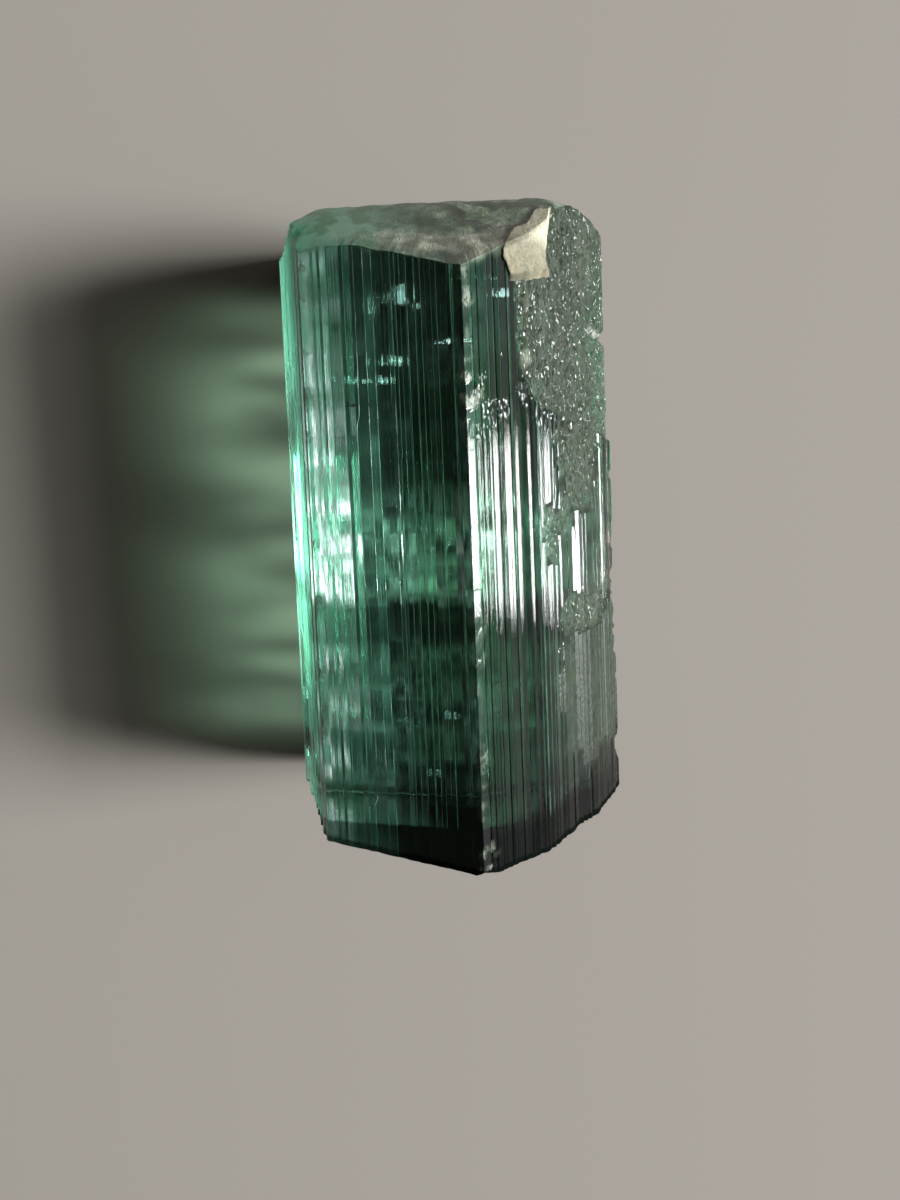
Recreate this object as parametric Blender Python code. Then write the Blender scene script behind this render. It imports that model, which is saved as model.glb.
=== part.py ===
"""A green tourmaline crystal: a striated three-sided prism with a broken head and a crust of its matrix.

It lies on a flat prism face at Z = 0. Its length runs along Y, with the broken head at +Y and the
flat foot at -Y, and its sharpest edge, the ridge, is on top. The origin is the middle of its
footprint. Run it with: blender --background --python part.py
"""

import math
import random

import bmesh
import bpy
from mathutils import Matrix, Vector, noise

MM = 0.001  # every mesh is in millimetres, and its object scales it to metres

# Driving dimensions, in millimetres
LENGTH = 16.5
WIDTH = 9.62
HEIGHT = 9.0
RIDGE_X = 0.85  # the ridge stands this far to the right of the middle
TAPER = 0.038  # share of its width that the prism loses from foot to head
STATIONS = 14  # cross-sections along the length
BREAK_CELL = 0.5  # size of the faces of an uneven fracture
CRUST_THICKNESS = 0.34
CRUST_PROUD = 0.09  # how far the crust stands above the crystal around it
CRUST_GAP = 0.05  # air between the crust and its pocket
CRUST_STEPS = 33  # points round the crust's outline
CRUST_RINGS = 5
PIT_COUNT = 40
PIT_LEAN = math.radians(30)  # how far the pits lean from the length of the crystal

# Corners of the cross-section at the foot, as (x, z), in order round it
RIDGE = (RIDGE_X, HEIGHT)
RIGHT_BROW = (2.45, 7.60)
RIGHT_SHOULDER = (4.0, 5.0)
RIGHT_WAIST = (WIDTH / 2, 2.9)
RIGHT_HIP = (WIDTH / 2, 1.7)
BASE_RIGHT = (3.3, 0.0)
BASE_LEFT = (-2.3, 0.0)
LEFT_HIP = (-WIDTH / 2, 1.45)
LEFT_SHOULDER = (-3.21, 6.65)

# Prism faces: the corners it runs between, rib width, rib relief, and where each rib's groove
# lies, as a share of its width
FACES = (
    (RIDGE, RIGHT_BROW, 0.34, 0.06, 0.75),
    (RIGHT_BROW, RIGHT_SHOULDER, 0.38, 0.09, 0.75),
    (RIGHT_SHOULDER, RIGHT_WAIST, 0.36, 0.07, 0.75),
    (RIGHT_WAIST, RIGHT_HIP, 0.40, 0.04, 0.5),
    (RIGHT_HIP, BASE_RIGHT, 0.48, 0.05, 0.25),
    (BASE_RIGHT, BASE_LEFT, 0.0, 0.0, 0.0),
    (BASE_LEFT, LEFT_HIP, 0.48, 0.05, 0.75),
    (LEFT_HIP, LEFT_SHOULDER, 0.34, 0.08, 0.25),
    (LEFT_SHOULDER, RIDGE, 0.52, 0.035, 0.25),
)

# Broken faces: name, a point on it, its outward direction, and how uneven it is
HEAD_POINT, HEAD_OUTWARD = (RIDGE_X, 5.52, HEIGHT), (0.0, 0.848, 0.53)
BREAKS = (
    ("head_slope", HEAD_POINT, HEAD_OUTWARD, 0.16),
    ("head_end", (0.0, 8.19, 2.0), (0.0, 1.0, 0.0), 0.10),
    ("head_right_shoulder", (2.6, 8.05, 4.0), (0.2, 0.98, 0.0), 0.05),
    ("head_right_corner", (4.36, 7.93, 3.0), (0.62, 0.78, 0.10), 0.08),
    ("head_left_corner", (-3.62, 7.75, 4.8), (-0.69, 0.69, 0.21), 0.06),
    ("foot_end", (0.0, -8.22, 4.0), (0.0, -1.0, 0.0), 0.03),
    ("ridge_chip", (RIDGE_X, -8.12, HEIGHT), (0.25, -0.75, 0.6), 0.03),
)

# Hollows where the right side is eaten away: name, centre on the surface, outward direction as
# (x, z), half length along Y, half width across, depth
HOLLOWS = (
    ("etched_corner", (3.50, 5.4, 5.60), (0.84, 0.54), 3.3, 1.35, 0.16),
    ("etched_patch_head", (3.66, 1.1, 5.45), (0.84, 0.54), 1.2, 0.55, 0.13),
    ("etched_patch_middle", (2.80, -0.4, 6.95), (0.82, 0.57), 0.9, 0.3, 0.10),
    ("etched_patch_foot", (3.85, -3.4, 5.15), (0.84, 0.54), 1.7, 0.55, 0.13),
    ("edge_notch", (4.50, 4.55, 3.3), (0.9, 0.44), 0.16, 0.55, 0.26),
)

RIDGE_NICKS = (4.5, 3.9, 3.2, 2.9, 2.3, 1.6, -7.6)  # where small nicks lie along the ridge

# The crust's outline on the right of the head, as (x, y)
CRUST_OUTLINE = (
    (3.05, 7.55),
    (2.98, 7.2),
    (2.82, 6.25),
    (2.9, 5.75),
    (2.41, 5.48),
    (1.87, 5.38),
    (1.66, 5.79),
    (1.64, 6.09),
    (1.95, 6.81),
    (2.38, 6.97),
    (2.66, 7.5),
)
CRUST_MIDDLE = Vector((2.4, 6.25))


def clear_scene():
    for obj in list(bpy.data.objects):
        bpy.data.objects.remove(obj, do_unlink=True)


def new_collection(name):
    collection = bpy.data.collections.new(name)
    bpy.context.scene.collection.children.link(collection)
    return collection


def make_material(name, colour, roughness, transmission=0.0, ior=1.5):
    material = bpy.data.materials.new(name)
    material.use_nodes = True
    shader = material.node_tree.nodes["Principled BSDF"]
    shader.inputs["Base Color"].default_value = (*colour, 1.0)
    shader.inputs["Roughness"].default_value = roughness
    shader.inputs["Metallic"].default_value = 0.0
    shader.inputs["Transmission Weight"].default_value = transmission
    shader.inputs["IOR"].default_value = ior
    return material


def mesh_object(name, edit, collection, material=None):
    """A new object from a closed bmesh. One with no material is a cutter."""
    bmesh.ops.recalc_face_normals(edit, faces=edit.faces)
    if edit.calc_volume(signed=True) < 0:
        bmesh.ops.reverse_faces(edit, faces=edit.faces)
    mesh = bpy.data.meshes.new(name)
    edit.to_mesh(mesh)
    edit.free()
    obj = bpy.data.objects.new(name, mesh)
    obj.scale = (MM, MM, MM)
    collection.objects.link(obj)
    if material:
        mesh.materials.append(material)
    else:
        obj.hide_render = True
        obj.display_type = "WIRE"
    return obj


def taper(x, y):
    """Where x at the foot lies at this place along the length."""
    return RIDGE_X + (x - RIDGE_X) * (1 - TAPER * (y / LENGTH + 0.5))


def ribs():
    """Every rib of the outline: its start, its end, and its groove's place and inward depth."""
    rng = random.Random(7)
    found = []
    for start, end, width, relief, place in FACES:
        start, end = Vector(start), Vector(end)
        inward = Vector(((end - start).y, -(end - start).x)).normalized()
        count = max(1, round((end - start).length / width)) if width else 1
        cuts = [0.0]
        for _ in range(count):
            cuts.append(cuts[-1] + rng.uniform(0.6, 1.4))
        for near, far in zip(cuts, cuts[1:]):
            depth = relief * rng.uniform(0.5, 1.0)
            near, far = (start.lerp(end, cut / cuts[-1]) for cut in (near, far))
            found.append((near, far, place, inward * depth))
    return found


def section(outline, y):
    """The outline at one place along the length, where each groove is deeper or shallower."""
    points = []
    for number, (near, far, place, groove) in enumerate(outline):
        points.append(near)
        if groove.length:
            share = 0.65 + 0.35 * noise.noise(Vector((y * 0.12, number * 3.7, 0.5)))
            points.append(near.lerp(far, place) + groove * share)
    return [Vector((taper(p.x, y), y, p.y)) for p in points]


def make_prism(collection, material):
    """The unbroken prism, a loft through sections that taper and whose ribs change."""
    outline = ribs()
    edit = bmesh.new()
    rings = []
    for station in range(STATIONS):
        y = LENGTH * (station / (STATIONS - 1) - 0.5)
        rings.append([edit.verts.new(p) for p in section(outline, y)])
    for low, high in zip(rings, rings[1:]):
        for k in range(len(low)):
            after = (k + 1) % len(low)
            edit.faces.new((low[k], low[after], high[after], high[k]))
    edit.faces.new(rings[0])
    edit.faces.new(rings[-1])
    return mesh_object("crystal", edit, collection, material)


def break_cutter(name, point, outward, relief, collection):
    """A thick slab whose inner face is uneven, as where a crystal has snapped."""
    reach = LENGTH * 0.6
    cells = round(2 * reach / BREAK_CELL)
    edit = bmesh.new()
    bmesh.ops.create_grid(edit, x_segments=cells, y_segments=cells, size=reach)
    seed = Vector(point) * 1.7
    for vert in edit.verts:
        broad = noise.noise(vert.co * 0.35 + seed)
        fine = noise.noise(vert.co * 1.3 + seed)
        vert.co.z = relief * (broad + 0.5 * fine)
    slab = bmesh.ops.extrude_face_region(edit, geom=edit.faces[:])
    for vert in slab["geom"]:
        if isinstance(vert, bmesh.types.BMVert):
            vert.co.z = reach
    turn = Vector(outward).to_track_quat("Z", "Y").to_matrix().to_4x4()
    edit.transform(Matrix.Translation(Vector(point)) @ turn)
    return mesh_object(name, edit, collection)


def dent_cutter(name, centre, outward, half_length, half_width, depth, lean, detail, collection):
    """A lumpy ellipsoid that leaves a hollow of this size and depth in the surface it lies on."""
    thickness = max(3 * depth, 0.1)
    lift = thickness - depth
    spread = 1 / math.sqrt(1 - (lift / thickness) ** 2)
    edit = bmesh.new()
    bmesh.ops.create_icosphere(edit, subdivisions=detail, radius=1.0)
    for vert in edit.verts:
        vert.co *= 1 + 0.14 * noise.noise(vert.co * 1.9 + Vector(centre))
        vert.co.x *= half_width * spread
        vert.co.y *= half_length * spread
        vert.co.z = vert.co.z * thickness + lift
    along = Vector((0.0, 1.0, 0.0))
    up = Vector((outward[0], 0.0, outward[1])).normalized()
    frame = Matrix((along.cross(up), along, up)).transposed().to_4x4()
    edit.transform(Matrix.Translation(Vector(centre)) @ frame @ Matrix.Rotation(-lean, 4, "Z"))
    return mesh_object(name, edit, collection)


def pit_cutters(collection):
    """Small leaning pits scattered over the etched right side, closest together at the head."""
    rng = random.Random(23)
    _, (x, middle, z), _, half_length, half_width, deepest = HOLLOWS[0]
    for number in range(PIT_COUNT):
        y = 7.6 - 6.2 * rng.random() ** 1.3
        pair = (RIGHT_BROW, RIGHT_SHOULDER) if number % 3 else (RIGHT_SHOULDER, RIGHT_WAIST)
        start, end = Vector(pair[0]), Vector(pair[1])
        outward = Vector(((start - end).y, (end - start).x)).normalized()
        spot = start.lerp(end, rng.uniform(0.1, 0.95))
        aside = (Vector((taper(spot.x, y), spot.y)) - Vector((x, z))).length / half_width
        sunk = deepest * max(0.0, 1 - aside**2 - ((y - middle) / half_length) ** 2)
        spot -= outward * max(0.1, sunk + 0.02)
        place = (taper(spot.x, y), y, spot.y)
        size = rng.uniform(0.14, 0.32)
        lean = PIT_LEAN * rng.uniform(0.6, 1.3)
        dent_cutter(f"pit_{number}", place, outward, size, size / 2, 0.12, lean, 1, collection)


def top_surface(x, y):
    """Height of the right side of the crystal, on the prism or on the sloping head."""
    for (x0, z0), (x1, z1) in ((RIDGE, RIGHT_BROW), (RIGHT_BROW, RIGHT_SHOULDER)):
        x0, x1 = taper(x0, y), taper(x1, y)
        z = z0 + (z1 - z0) * (x - x0) / (x1 - x0)
        if x <= x1:
            break
    reach = Vector(HEAD_POINT).dot(Vector(HEAD_OUTWARD)) - HEAD_OUTWARD[1] * y
    return min(z, reach / HEAD_OUTWARD[2])


def crust_sheet(edit, grow, outer):
    """One side of the crust, as rings of points from its middle outwards."""
    rings = []
    for ring in range(CRUST_RINGS + 1):
        share = ring / CRUST_RINGS
        row = []
        for step in range(CRUST_STEPS if ring else 1):
            corner, part = divmod(step / CRUST_STEPS * len(CRUST_OUTLINE), 1)
            near = Vector(CRUST_OUTLINE[int(corner)])
            far = Vector(CRUST_OUTLINE[(int(corner) + 1) % len(CRUST_OUTLINE)])
            reach = near.lerp(far, part) - CRUST_MIDDLE
            reach *= 1 + 0.07 * noise.noise(Vector((step * 1.1, 0.3, 0.7)))
            spot = CRUST_MIDDLE + (reach + reach.normalized() * grow) * share
            lump = noise.noise(Vector((spot.x * 2.3, spot.y * 2.3, 4.1)))
            z = top_surface(*spot)
            if outer:
                z += CRUST_PROUD * (1 - share**4) * (1 + 0.9 * lump) + grow * 6
            else:
                z -= CRUST_THICKNESS * (1 - 0.4 * share**2) + grow * 1.6
            row.append(edit.verts.new((*spot, z)))
        rings.append(row)
    return rings


def crust_body(name, grow, collection, material=None):
    """The crust, an uneven sheet that follows the crystal, or the pocket that it lies in."""
    edit = bmesh.new()
    sheets = [crust_sheet(edit, grow, outer) for outer in (True, False)]
    for rings in sheets:
        for k in range(CRUST_STEPS):
            after = (k + 1) % CRUST_STEPS
            edit.faces.new((rings[0][0], rings[1][k], rings[1][after]))
            for low, high in zip(rings[1:], rings[2:]):
                edit.faces.new((low[k], high[k], high[after], low[after]))
    top, bottom = sheets[0][-1], sheets[1][-1]
    for k in range(CRUST_STEPS):
        after = (k + 1) % CRUST_STEPS
        edit.faces.new((top[k], bottom[k], bottom[after], top[after]))
    return mesh_object(name, edit, collection, material)


def centre_footprint(objects):
    """Moves everything together, so that the origin is the middle of the footprint."""
    bpy.context.view_layer.update()
    graph = bpy.context.evaluated_depsgraph_get()
    corners = []
    for obj in objects:
        shape = obj.evaluated_get(graph).to_mesh()
        corners += [Vector(vert.co) for vert in shape.vertices]
        obj.evaluated_get(graph).to_mesh_clear()
    low = [min(corner[axis] for corner in corners) for axis in range(3)]
    high = [max(corner[axis] for corner in corners) for axis in range(3)]
    shift = -Vector(((low[0] + high[0]) / 2, (low[1] + high[1]) / 2, low[2])) * MM
    for obj in bpy.data.objects:
        obj.location = shift


def main():
    clear_scene()
    specimen = new_collection("tourmaline_crystal")
    cutters = new_collection("cutters")
    green = make_material("tourmaline", (0.09, 0.42, 0.30), 0.08, 1.0, 1.63)
    buff = make_material("matrix", (0.62, 0.54, 0.40), 0.9)
    crystal = make_prism(specimen, green)
    for name, point, outward, relief in BREAKS:
        break_cutter(name, point, outward, relief, cutters)
    for name, centre, outward, half_length, half_width, depth in HOLLOWS:
        dent_cutter(name, centre, outward, half_length, half_width, depth, 0.0, 3, cutters)
    for number, y in enumerate(RIDGE_NICKS):
        top = (RIDGE_X + 0.02, y, HEIGHT - 0.02)
        dent_cutter(f"ridge_nick_{number}", top, (0.25, 1.0), 0.2, 0.16, 0.09, 0.0, 2, cutters)
    pit_cutters(cutters)
    crust_body("crust_pocket", CRUST_GAP, cutters)
    crust = crust_body("matrix_crust", 0.0, specimen, buff)
    modifier = crystal.modifiers.new("breaks_and_pits", "BOOLEAN")
    modifier.operation = "DIFFERENCE"
    modifier.solver = "EXACT"
    modifier.operand_type = "COLLECTION"
    modifier.collection = cutters
    centre_footprint((crystal, crust))


main()
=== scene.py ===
# A green tourmaline crystal with a crust of its matrix, lying on a pale floor: the looks, built round the CAD frame.
import math
import random

import bmesh
import bpy
import numpy as np
from mathutils import Matrix, Vector, noise


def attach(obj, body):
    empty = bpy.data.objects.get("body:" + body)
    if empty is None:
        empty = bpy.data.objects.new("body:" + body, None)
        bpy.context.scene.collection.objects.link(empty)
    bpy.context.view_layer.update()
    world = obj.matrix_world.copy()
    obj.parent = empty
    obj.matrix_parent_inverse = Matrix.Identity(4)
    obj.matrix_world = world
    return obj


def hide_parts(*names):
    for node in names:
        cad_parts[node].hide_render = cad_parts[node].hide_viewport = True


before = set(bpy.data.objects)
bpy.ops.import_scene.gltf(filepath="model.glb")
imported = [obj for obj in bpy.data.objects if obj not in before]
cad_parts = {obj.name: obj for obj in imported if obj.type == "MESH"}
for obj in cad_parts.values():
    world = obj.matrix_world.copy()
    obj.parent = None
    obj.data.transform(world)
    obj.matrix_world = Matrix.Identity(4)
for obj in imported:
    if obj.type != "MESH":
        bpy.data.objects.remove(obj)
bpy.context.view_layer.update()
mm = 0.001


# Small helpers for shapes
def smoothStep(low, high, value):
    share = np.clip((value - low) / (high - low), 0.0, 1.0)
    return share * share * (3 - 2 * share)


def profile(value, places):
    # the value's height on a line through (place, height) pairs
    return np.interp(value, [p for p, _ in places], [h for _, h in places])


def ovalDistance(x, y, oval):
    # squared distance from an oval's middle, 1 on its rim
    px, py, halfX, halfY = oval
    return ((x - px) / halfX) ** 2 + ((y - py) / halfY) ** 2


def noiseOver(x, y, z=0.0):
    # Perlin noise for whole arrays of points
    flat = np.broadcast_arrays(x, y, z)
    values = [noise.noise(Vector(p)) for p in zip(*(a.ravel() for a in flat))]
    return np.array(values).reshape(flat[0].shape)


def cellsOver(across, along):
    # distance to the nearest cell centre, for whole arrays of points
    flat = np.broadcast_arrays(across, along)
    pairs = zip(flat[0].ravel(), flat[1].ravel())
    values = [noise.voronoi(Vector((a, b, 0.0)))[0][0] for a, b in pairs]
    return np.array(values).reshape(flat[0].shape)


def ringFaces(low, high, count):
    # quads between two closed rings of points
    return [(low + k, low + (k + 1) % count, high + (k + 1) % count, high + k) for k in range(count)]


def fanFaces(ring, tip, count):
    # triangles that close a ring of points on its tip
    return [(ring + k, ring + (k + 1) % count, tip) for k in range(count)]


def addPiece(name, points, faces, material, masks=None):
    # points are in millimetres, and the object stays at the origin
    mesh = bpy.data.meshes.new(name)
    mesh.from_pydata((np.asarray(points) * mm).tolist(), [], faces)
    mesh.materials.append(material)
    for mask, values in (masks or {}).items():
        attribute = mesh.attributes.new(mask, "FLOAT", "POINT")
        attribute.data.foreach_set("value", np.asarray(values, np.float32).ravel())
    mesh.update()
    mesh.shade_smooth()
    return addObject(name, mesh)


def addObject(name, data):
    piece = bpy.data.objects.new(name, data)
    bpy.context.scene.collection.objects.link(piece)
    return piece


# Small helpers for node trees
def setSocket(tree, socket, value):
    # a value that is a socket is linked, and any other is set
    if isinstance(value, bpy.types.NodeSocket):
        tree.links.new(value, socket)
    else:
        socket.default_value = value


def addNode(tree, kind, values=None, **settings):
    node = tree.nodes.new(kind)
    for name, value in settings.items():
        setattr(node, name, value)
    for socket, value in (values or {}).items():
        setSocket(tree, node.inputs[socket], value)
    return node


def addMath(tree, operation, first, second=0.0):
    return addNode(tree, "ShaderNodeMath", {0: first, 1: second}, operation=operation).outputs[0]


def addProduct(tree, first, *others):
    for other in others:
        first = addMath(tree, "MULTIPLY", first, other)
    return first


def addLargest(tree, first, *others):
    for other in others:
        first = addMath(tree, "MAXIMUM", first, other)
    return first


def addRange(tree, value, fromMin, fromMax, toMin=0.0, toMax=1.0):
    values = {"Value": value, "From Min": fromMin, "From Max": fromMax, "To Min": toMin, "To Max": toMax}
    return addNode(tree, "ShaderNodeMapRange", values, interpolation_type="SMOOTHSTEP").outputs["Result"]


def addRamp(tree, value, reach, stops):
    # grey values at places between -reach and reach
    share = addMath(tree, "DIVIDE", addMath(tree, "ADD", value, reach), 2 * reach)
    ramp = addNode(tree, "ShaderNodeValToRGB", {"Fac": share})
    elements = ramp.color_ramp.elements
    elements.remove(elements[1])
    elements[0].position = (stops[0][0] + reach) / (2 * reach)
    for place, _ in stops[1:]:
        elements.new((place + reach) / (2 * reach))
    for element, (_, grey) in zip(elements, stops):
        element.color = (grey, grey, grey, 1)
    return ramp.outputs["Color"]


def addNoise(tree, where, scale=1.0, detail=2.0):
    values = {"Vector": where, "Scale": scale, "Detail": detail}
    return addNode(tree, "ShaderNodeTexNoise", values).outputs["Fac"]


def addVector(tree, operation, first, second):
    return addNode(tree, "ShaderNodeVectorMath", {0: first, 1: second}, operation=operation).outputs[0]


def scaledVector(tree, factor, vector):
    # a vector or a colour times a factor, which may go past 1
    return addNode(tree, "ShaderNodeVectorMath", {0: vector, "Scale": factor}, operation="SCALE").outputs[0]


def splitVector(tree, where):
    place = addNode(tree, "ShaderNodeSeparateXYZ", {0: where})
    return [place.outputs[axis] for axis in "XYZ"]


def mixColour(tree, factor, first, second):
    node = addNode(tree, "ShaderNodeMix", {0: factor, 6: first, 7: second}, data_type="RGBA")
    return node.outputs[2]


def mixShader(tree, share, first, second):
    return addNode(tree, "ShaderNodeMixShader", {0: share, 1: first, 2: second}).outputs[0]


def addSurface(tree, values):
    return addNode(tree, "ShaderNodeBsdfPrincipled", values).outputs[0]


# The crystal's shape
crystal = {
    "halfLength": 8.25,
    "taper": 0.038,  # share of the width lost from foot to head
    "stationGap": (0.14, 0.08),  # between sections, in the clean part and in the etched part
    "etchedFrom": 1.6,
    "headRings": 36,  # rings on the broken head
    "footRings": 12,
    "endMiddle": (0.3, 4.2),
    "sharpFrom": 9,  # degrees between faces
    "ribSize": (0.4, 1.0),
    "ribsThatEnd": (0.2, 0.04),  # share, left and right, that gives way to a neighbour part of the way along
    "givesWay": 0.92,  # how much of its size such a rib gives up
    "splitStray": 5.0,  # degrees that the parts of a split rib lean apart
    "seed": 11,
}

# Corners of the section at the foot, as (x, z) in millimetres
ridge = (0.85, 9.0)
rightBrow = (2.45, 7.60)
rightShoulder = (4.0, 5.0)
rightWaist = (4.81, 2.9)
rightHip = (4.81, 1.7)
baseRight = (3.3, 0.0)
baseMiddle = (-1.0, 0.0)
baseLeft = (-2.3, 0.0)
leftHip = (-4.81, 1.45)
leftShoulder = (-3.21, 6.65)

# Each side of the prism is stepped from true crystal faces, which slope by whole steps of 30 degrees.
# from, to, the two slopes that it alternates between, {other slopes: share}, ribs, stray degrees, most splits of a rib
prismSides = (
    (ridge, rightBrow, (30, 90), {44: 0.36, 0: 0.06}, 8, 0.6, 3),
    (rightBrow, rightShoulder, (30, 90), {60: 0.50}, 11, 0.6, 3),
    (rightShoulder, rightWaist, (60, 90), {30: 0.12}, 9, 0.6, 2),
    (rightWaist, rightHip, (60, 120), {90: 0.5}, 4, 0.6, 1),
    (rightHip, baseRight, (120, 150), {}, 6, 1.0, 1),
    (baseRight, baseMiddle, (208, 150), {180: 0.88}, 9, 1.5, 1),
    (baseMiddle, baseLeft, (208, 120), {180: 0.12}, 6, 2.0, 1),
    (baseLeft, leftHip, (204, 240), {}, 9, 1.5, 1),
    (leftHip, leftShoulder, (270, 300), {330: 0.10, 315: 0.12}, 12, 0.6, 1),
    (leftShoulder, ridge, (300, 360), {330: 0.40, 323: 0.27, 337: 0.27}, 17, 0.6, 1),
)

# The breaks at the two ends: the way each one faces, a point on it, and how rough it is
headBreaks = {
    "steep": ((0.0, 1.0, 0.0), (0.0, 8.22, 0.0), 0.8),
    "sloping": ((0.0, 0.848, 0.53), (0.0, 9.45 / 0.848, 0.0), 1.1),
    "right": ((0.62, 0.78, 0.1), (4.36, 7.93, 3.0), 1.0),
    "shoulder": ((0.2, 0.98, 0.0), (2.6, 8.05, 0.0), 1.0),
    "left": ((-0.69, 0.69, 0.21), (-3.62, 7.75, 4.8), 1.0),
    "wornCorner": ((-0.9, 1.0, 1.5), (-3.1, 6.52, 6.75), 1.0),
}
footBreaks = {
    "flat": ((0.0, -1.0, 0.0), (0.0, -8.22, 0.0), 1.0),
    "chip": ((0.25, -0.75, 0.6), (0.85, -8.12, 9.0), 1.0),
}
headSoftness = 0.18  # rounding of the edges between the head's breaks

# Where the right side is eaten away. Places are seen from above, in millimetres, and ovals are (x, y, half x, half y).
etching = {
    "edge": ((1.9, 4.9), (2.3, 3.5), (2.7, 2.5), (3.4, 2.25), (4.6, 2.1), (6.2, 2.3), (8.3, 2.75)),  # (y, x)
    "raggedness": (0.35, 0.22, 0.12),  # coarse, middle and fine
    "cornerDepth": 0.12,
    "patchDepth": 0.09,
    "patches": ((3.62, 1.15, 0.52, 1.2), (2.78, -0.45, 0.22, 0.85), (3.8, -2.6, 0.7, 0.45)),
    "clouds": ((4.0, -4.4, 1.35, 2.5), (3.9, 3.9, 0.5, 1.0)),
    "cloudFrost": 0.85,
    "stains": ((2.22, 3.65, 0.17, 0.28), (2.28, 5.1, 0.08, 0.4)),
    "stainFilm": 0.5,
    "notch": (4.68, 0.13, 0.22),  # place along the length, half width, depth
    "pitSize": (0.15, 0.34),  # across and along
    "pitLean": 30,  # degrees that pits lean to the right
    "pitDepth": 0.05,
    "ridgeWear": 0.006,
    "wearDepth": ((-8.2, 1.0), (-7.4, 0.25), (1.5, 0.3), (2.2, 1.0), (4.8, 0.8), (5.3, 0.3)),  # (y, share)
    "wearShare": ((-8.3, 0.9), (-7.6, 0.8), (-6.8, 0.3), (1.0, 0.3), (2.0, 0.8), (3.0, 1.0), (4.4, 0.7), (5.3, 0.4)),
    "wearReach": ((1.4, 0.14), (2.0, 0.26), (3.4, 0.28), (4.2, 0.16)),  # (y, width)
    # (x, width)
    "filmWidth": ((-2.4, 0.0), (-1.7, 0.25), (-0.6, 0.6), (0.1, 1.0), (0.9, 1.4), (1.7, 1.2), (2.0, 0.0)),
    "glintShare": ((1.5, 0.5), (2.4, 1.0)),  # (y, share)
}


def slopeWay(degrees):
    return np.array((math.cos(math.radians(degrees)), -math.sin(math.radians(degrees))))


def narrowing(y):
    # share of the foot's width that is left
    return 1 - crystal["taper"] * (y / (2 * crystal["halfLength"]) + 0.5)


def drawRibs(rng, side):
    # the rib faces of one side, from one end of it to the other
    start, end, pair, others, ribs, stray, _ = side
    run = np.array(end) - np.array(start)
    reach = np.linalg.norm(run)
    rest = run - sum((share * reach * slopeWay(s) for s, share in others.items()), np.zeros(2))
    lengths = dict(zip(pair, np.linalg.solve(np.stack([slopeWay(s) for s in pair], 1), rest)))
    lengths |= {s: share * reach for s, share in others.items()}
    facets = []
    for _ in range(ribs):
        order = list(pair)
        for other in others:
            order.insert(rng.randrange(1, len(order) + 1), other)
        for slope in order:
            size = rng.uniform(*crystal["ribSize"]) if slope in pair else rng.uniform(0.3, 1.0) ** 2.2
            facets.append({"slope": slope, "size": size, "turned": slope + rng.gauss(0, stray)})
    for slope, length in lengths.items():
        same = [f for f in facets if f["slope"] == slope]
        total = sum(f["size"] for f in same)
        for facet in same:
            facet["size"] *= length / total
    left, right = crystal["ribsThatEnd"]
    for number, facet in enumerate(facets):
        later = range(number + 1, min(number + 6, len(facets)))
        mates = [k for k in later if facets[k]["slope"] == facet["slope"]]
        if mates and rng.random() < (left if start[0] < 0 else right):
            facet["mate"] = mates[0]
            facet["place"] = rng.uniform(0, 99)
    return facets


def splitRibs(rng, facets, most):
    # each rib face in up to so many parts, which lean a little apart
    parts = []
    for facet in facets:
        shares = [rng.uniform(0.3, 1.0) for _ in range(rng.randint(1, most))]
        for share in shares:
            size = facet["size"] * share / sum(shares)
            parts.append({"size": size, "turned": facet["turned"] + rng.gauss(0, crystal["splitStray"])})
    return parts


def makeRibs():
    rng = random.Random(crystal["seed"])
    splitRng = random.Random(crystal["seed"] + 1)
    sides = []
    for side in prismSides:
        facets = drawRibs(rng, side)
        if side[-1] > 1:
            facets = splitRibs(splitRng, facets, side[-1])
        sides.append((np.array(side[0]), np.array(side[1]), facets))
    return sides


def outlineAt(sides, y):
    # the ribbed outline, the plain outline and the outward way, for each column of the mesh
    ribbed, plain, outward = [], [], []
    for start, end, facets in sides:
        sizes = np.array([f["size"] for f in facets])
        for number, facet in enumerate(facets):
            if "mate" in facet:
                ended = float(smoothStep(0.02, 0.06, noise.noise(Vector((facet["place"], y * 0.21, 40.0)))))
                moved = crystal["givesWay"] * facet["size"] * ended
                sizes[number] -= moved
                sizes[facet["mate"]] += moved
        steps = np.array([slopeWay(f["turned"]) for f in facets]) * sizes[:, None]
        chain = np.vstack([np.zeros(2), np.cumsum(steps, 0)])
        along = np.concatenate([[0.0], np.cumsum(sizes)]) / sizes.sum()
        chain += along[:, None] * (end - start - chain[-1])  # the last point meets the next side
        normal = np.array((-(end - start)[1], (end - start)[0])) / np.linalg.norm(end - start)
        ribbed.append(start + chain[:-1])
        plain.append(start + along[:-1, None] * (end - start))
        outward.append(np.repeat(normal[None], len(facets), 0))
    return np.vstack(ribbed), np.vstack(plain), np.vstack(outward)


def breakEnds(breaks, x, z, rough):
    # how far along the crystal each break lies
    ends = []
    for way, point, roughShare in breaks.values():
        flat = point[1] - (way[0] * (x - point[0]) + way[2] * (z - point[2])) / way[1]
        ends.append(flat + roughShare * rough)
    return np.stack(ends)


def headEnd(x, z):
    rough = 0.10 * noiseOver(x * 0.55, z * 0.55, 3.1) + 0.045 * noiseOver(x * 1.6, z * 1.6, 8.2)
    rough = rough + 0.02 * noiseOver(x * 4.6, z * 4.6, 1.7)
    ends = breakEnds(headBreaks, x, z, rough)
    return -headSoftness * np.log(np.sum(np.exp(-ends / headSoftness), 0))  # the nearest, with softened edges


def footEnd(x, z):
    rough = 0.03 * noiseOver(x * 0.6, z * 0.6, 12.0) + 0.012 * noiseOver(x * 2.6, z * 2.6, 4.0)
    return breakEnds(footBreaks, x, z, rough).max(0)


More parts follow.
